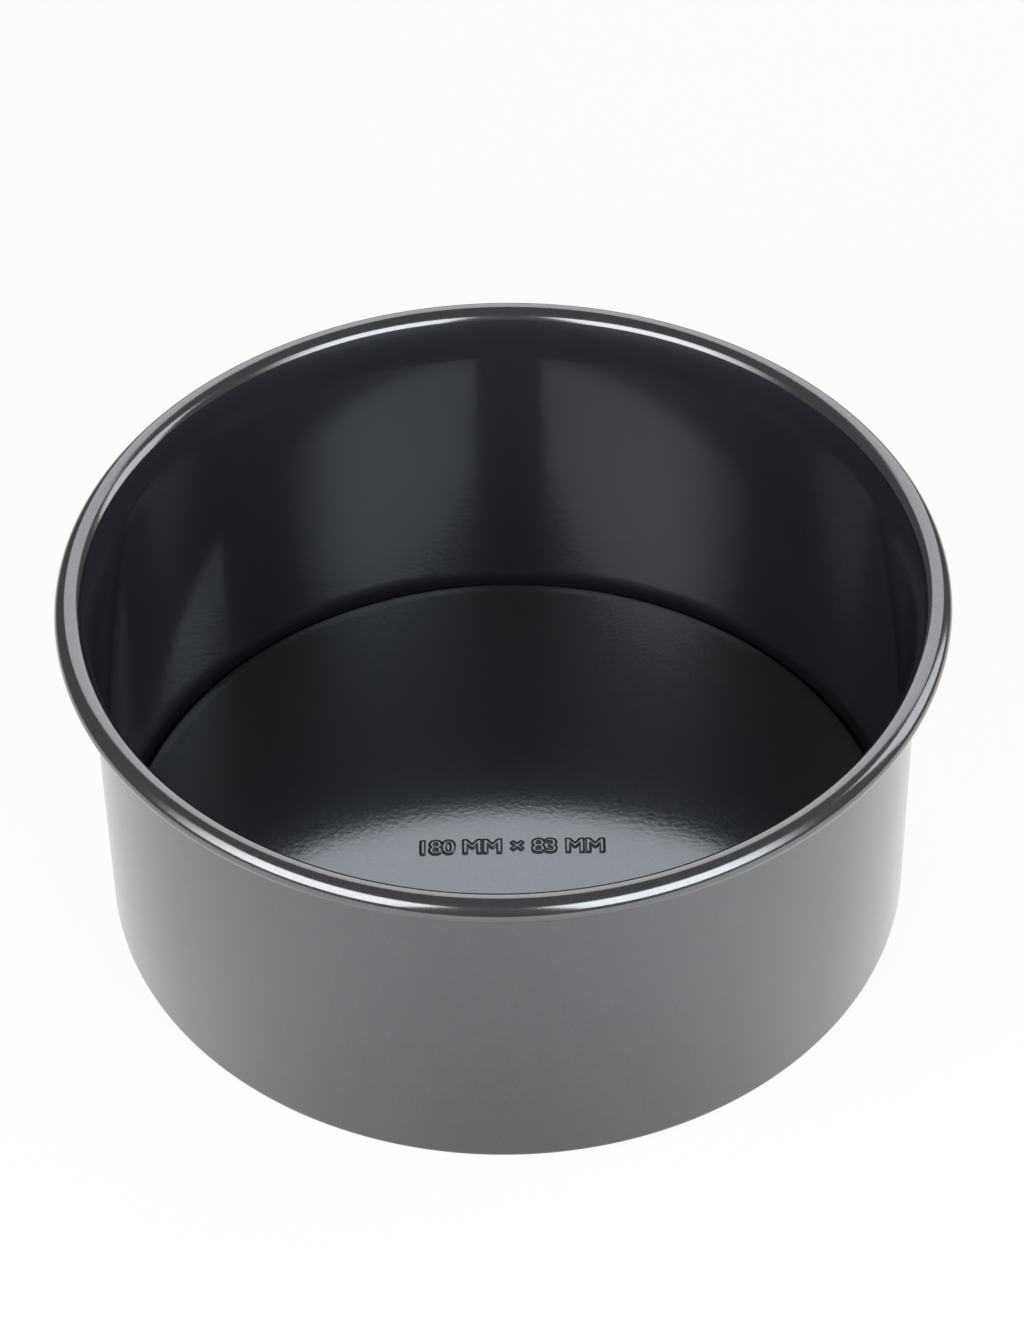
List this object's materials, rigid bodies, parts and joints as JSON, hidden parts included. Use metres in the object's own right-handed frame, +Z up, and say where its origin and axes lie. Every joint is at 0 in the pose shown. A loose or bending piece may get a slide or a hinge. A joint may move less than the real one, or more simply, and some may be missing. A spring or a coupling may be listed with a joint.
{
  "type": "loose-base cake tin",
  "caption": "Deep round straight-sided cake tin: coated steel wall with a rolled rim, and a loose flat base that rests on an inner ledge and pushes up out of the top.",
  "frame": {"origin": "on the axis of the tin, at the level of the surface it stands on", "axes": "+Z up along the axis of the tin, +X to the right and +Y away from someone who reads the mark on the base"},
  "size_m": [0.195, 0.195, 0.086],
  "materials": {
    "wall_coating": "graphite non-stick coating with a fine metallic grain, satin gloss",
    "wire_steel": "drawn bright steel wire",
    "base_coating": "graphite non-stick coating with a slight orange peel, gloss"
  },
  "bodies": {
    "tin": {"side_wall": "wall_coating", "rim_wire": "wire_steel"},
    "base": {"loose_base": "base_coating"}
  },
  "joints": [
    {"name": "base_lift", "type": "slide", "parent": "tin", "child": "base", "axis": [0, 0, 1], "range_m": [0, 0.095]}
  ]
}
